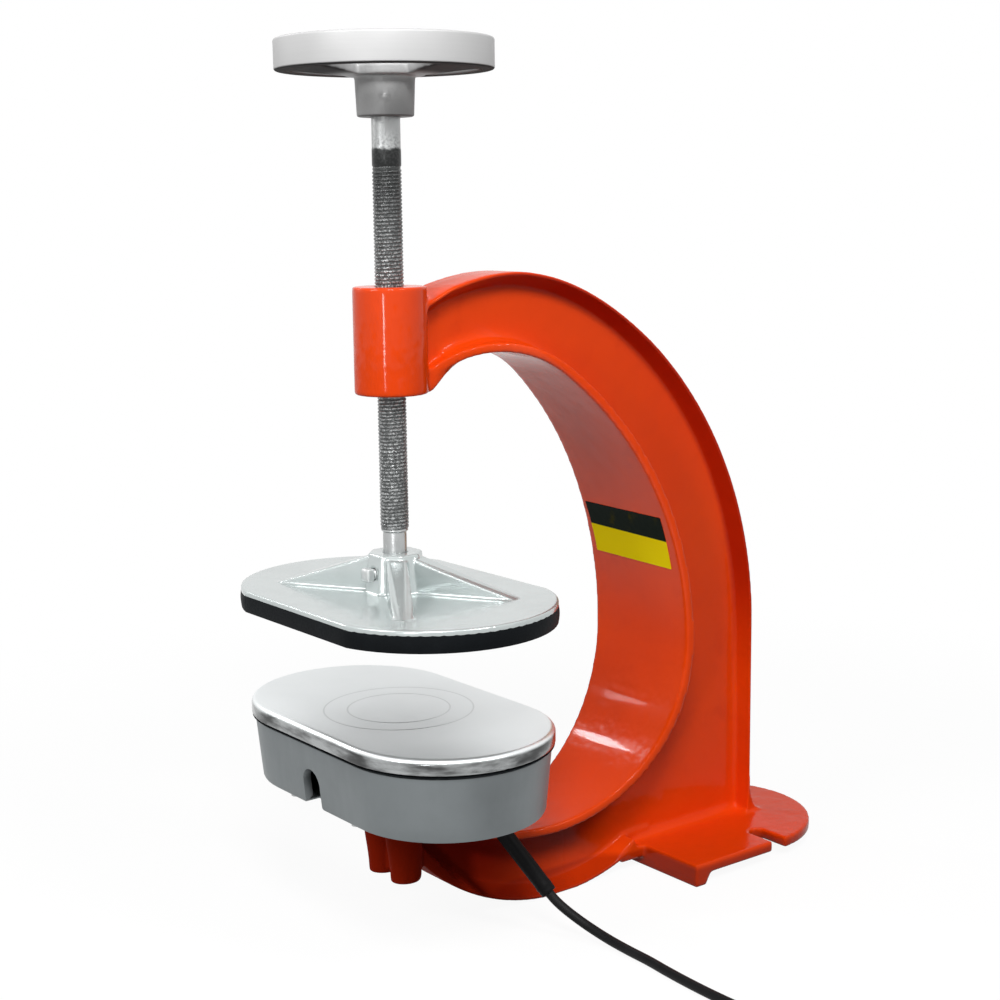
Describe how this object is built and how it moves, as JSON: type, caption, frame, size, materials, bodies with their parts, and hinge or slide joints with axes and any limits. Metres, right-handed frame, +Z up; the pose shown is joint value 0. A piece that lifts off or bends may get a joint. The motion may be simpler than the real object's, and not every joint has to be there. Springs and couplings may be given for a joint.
{
  "type": "tire vulcanizer",
  "caption": "Bench vulcanizing press: cast C-frame with slotted foot, heated lower platen on a mains lead, handwheel screw and swivelling rubber-faced pressure plate.",
  "frame": {"origin": "middle of the footprint of the press without its lead, on the bench", "axes": "+Z up along the screw, +X from the platens towards the spine and foot of the frame, +Y along the platens"},
  "size_m": [0.4836, 0.5155, 0.6395],
  "materials": {
    "enamel": "glossy orange-red enamel on cast iron",
    "platen": "ground and polished",
    "heat_seal": "matt",
    "housing": "grey painted die casting",
    "mica": "mica sheet",
    "zinc_steel": "zinc plated",
    "insulation": "fibre board",
    "thermostat": "brass can",
    "porcelain": "glazed",
    "tails": "plain",
    "black_plastic": "moulded",
    "cord_rubber": "smooth rubber",
    "plug_pins": "nickel plated",
    "screw_steel": "oiled, dark",
    "wheel": "turned rim on a sand casting",
    "press_casting": "silver painted casting",
    "pad_rubber": "smooth"
  },
  "bodies": {
    "frame": {"frame_casting": "enamel", "heater_plate": "platen", "heat_seal": "heat_seal", "heater_housing": "housing", "heating_element": "mica", "element_clamp": "zinc_steel", "insulation_board": "insulation", "clamp_studs": "zinc_steel", "clamp_nuts": "zinc_steel", "thermostat": "thermostat", "terminal_block": "porcelain", "element_tails": "tails", "base_cover": "zinc_steel", "cover_screws": "zinc_steel", "mounting_bolts": "zinc_steel", "bolt_washers": "zinc_steel", "cord_gland": "black_plastic", "cord_sleeve": "cord_rubber", "power_cord": "cord_rubber", "cord_coil": "cord_rubber", "cord_tie": "black_plastic", "cord_tail": "cord_rubber", "plug_body": "black_plastic", "plug_pins": "plug_pins"},
    "thrust": {"thrust_disc": "screw_steel"},
    "screw": {"press_screw": "screw_steel", "handwheel": "wheel", "hub_pin": "zinc_steel"},
    "plate": {"pressure_plate": "press_casting", "rubber_pad": "pad_rubber", "retaining_screw": "zinc_steel"}
  },
  "joints": [
    {"name": "screw_travel", "type": "slide", "parent": "frame", "child": "thrust", "axis": [0, 0, 1], "range_m": [-0.0717, 0.105]},
    {"name": "screw_turn", "type": "hinge", "parent": "thrust", "child": "screw", "pos_m": [-0.15625, 0, 0.4335], "axis": [0, 0, 1], "range_deg": [-10310, 14976]},
    {"name": "plate_swivel", "type": "hinge", "parent": "thrust", "child": "plate", "pos_m": [-0.15625, 0, 0.27], "axis": [0, 0, 1], "continuous": true}
  ],
  "couplings": [
    {"joint": "screw_travel", "follows": "screw_turn", "m_per_rad": 0.00039789}
  ]
}
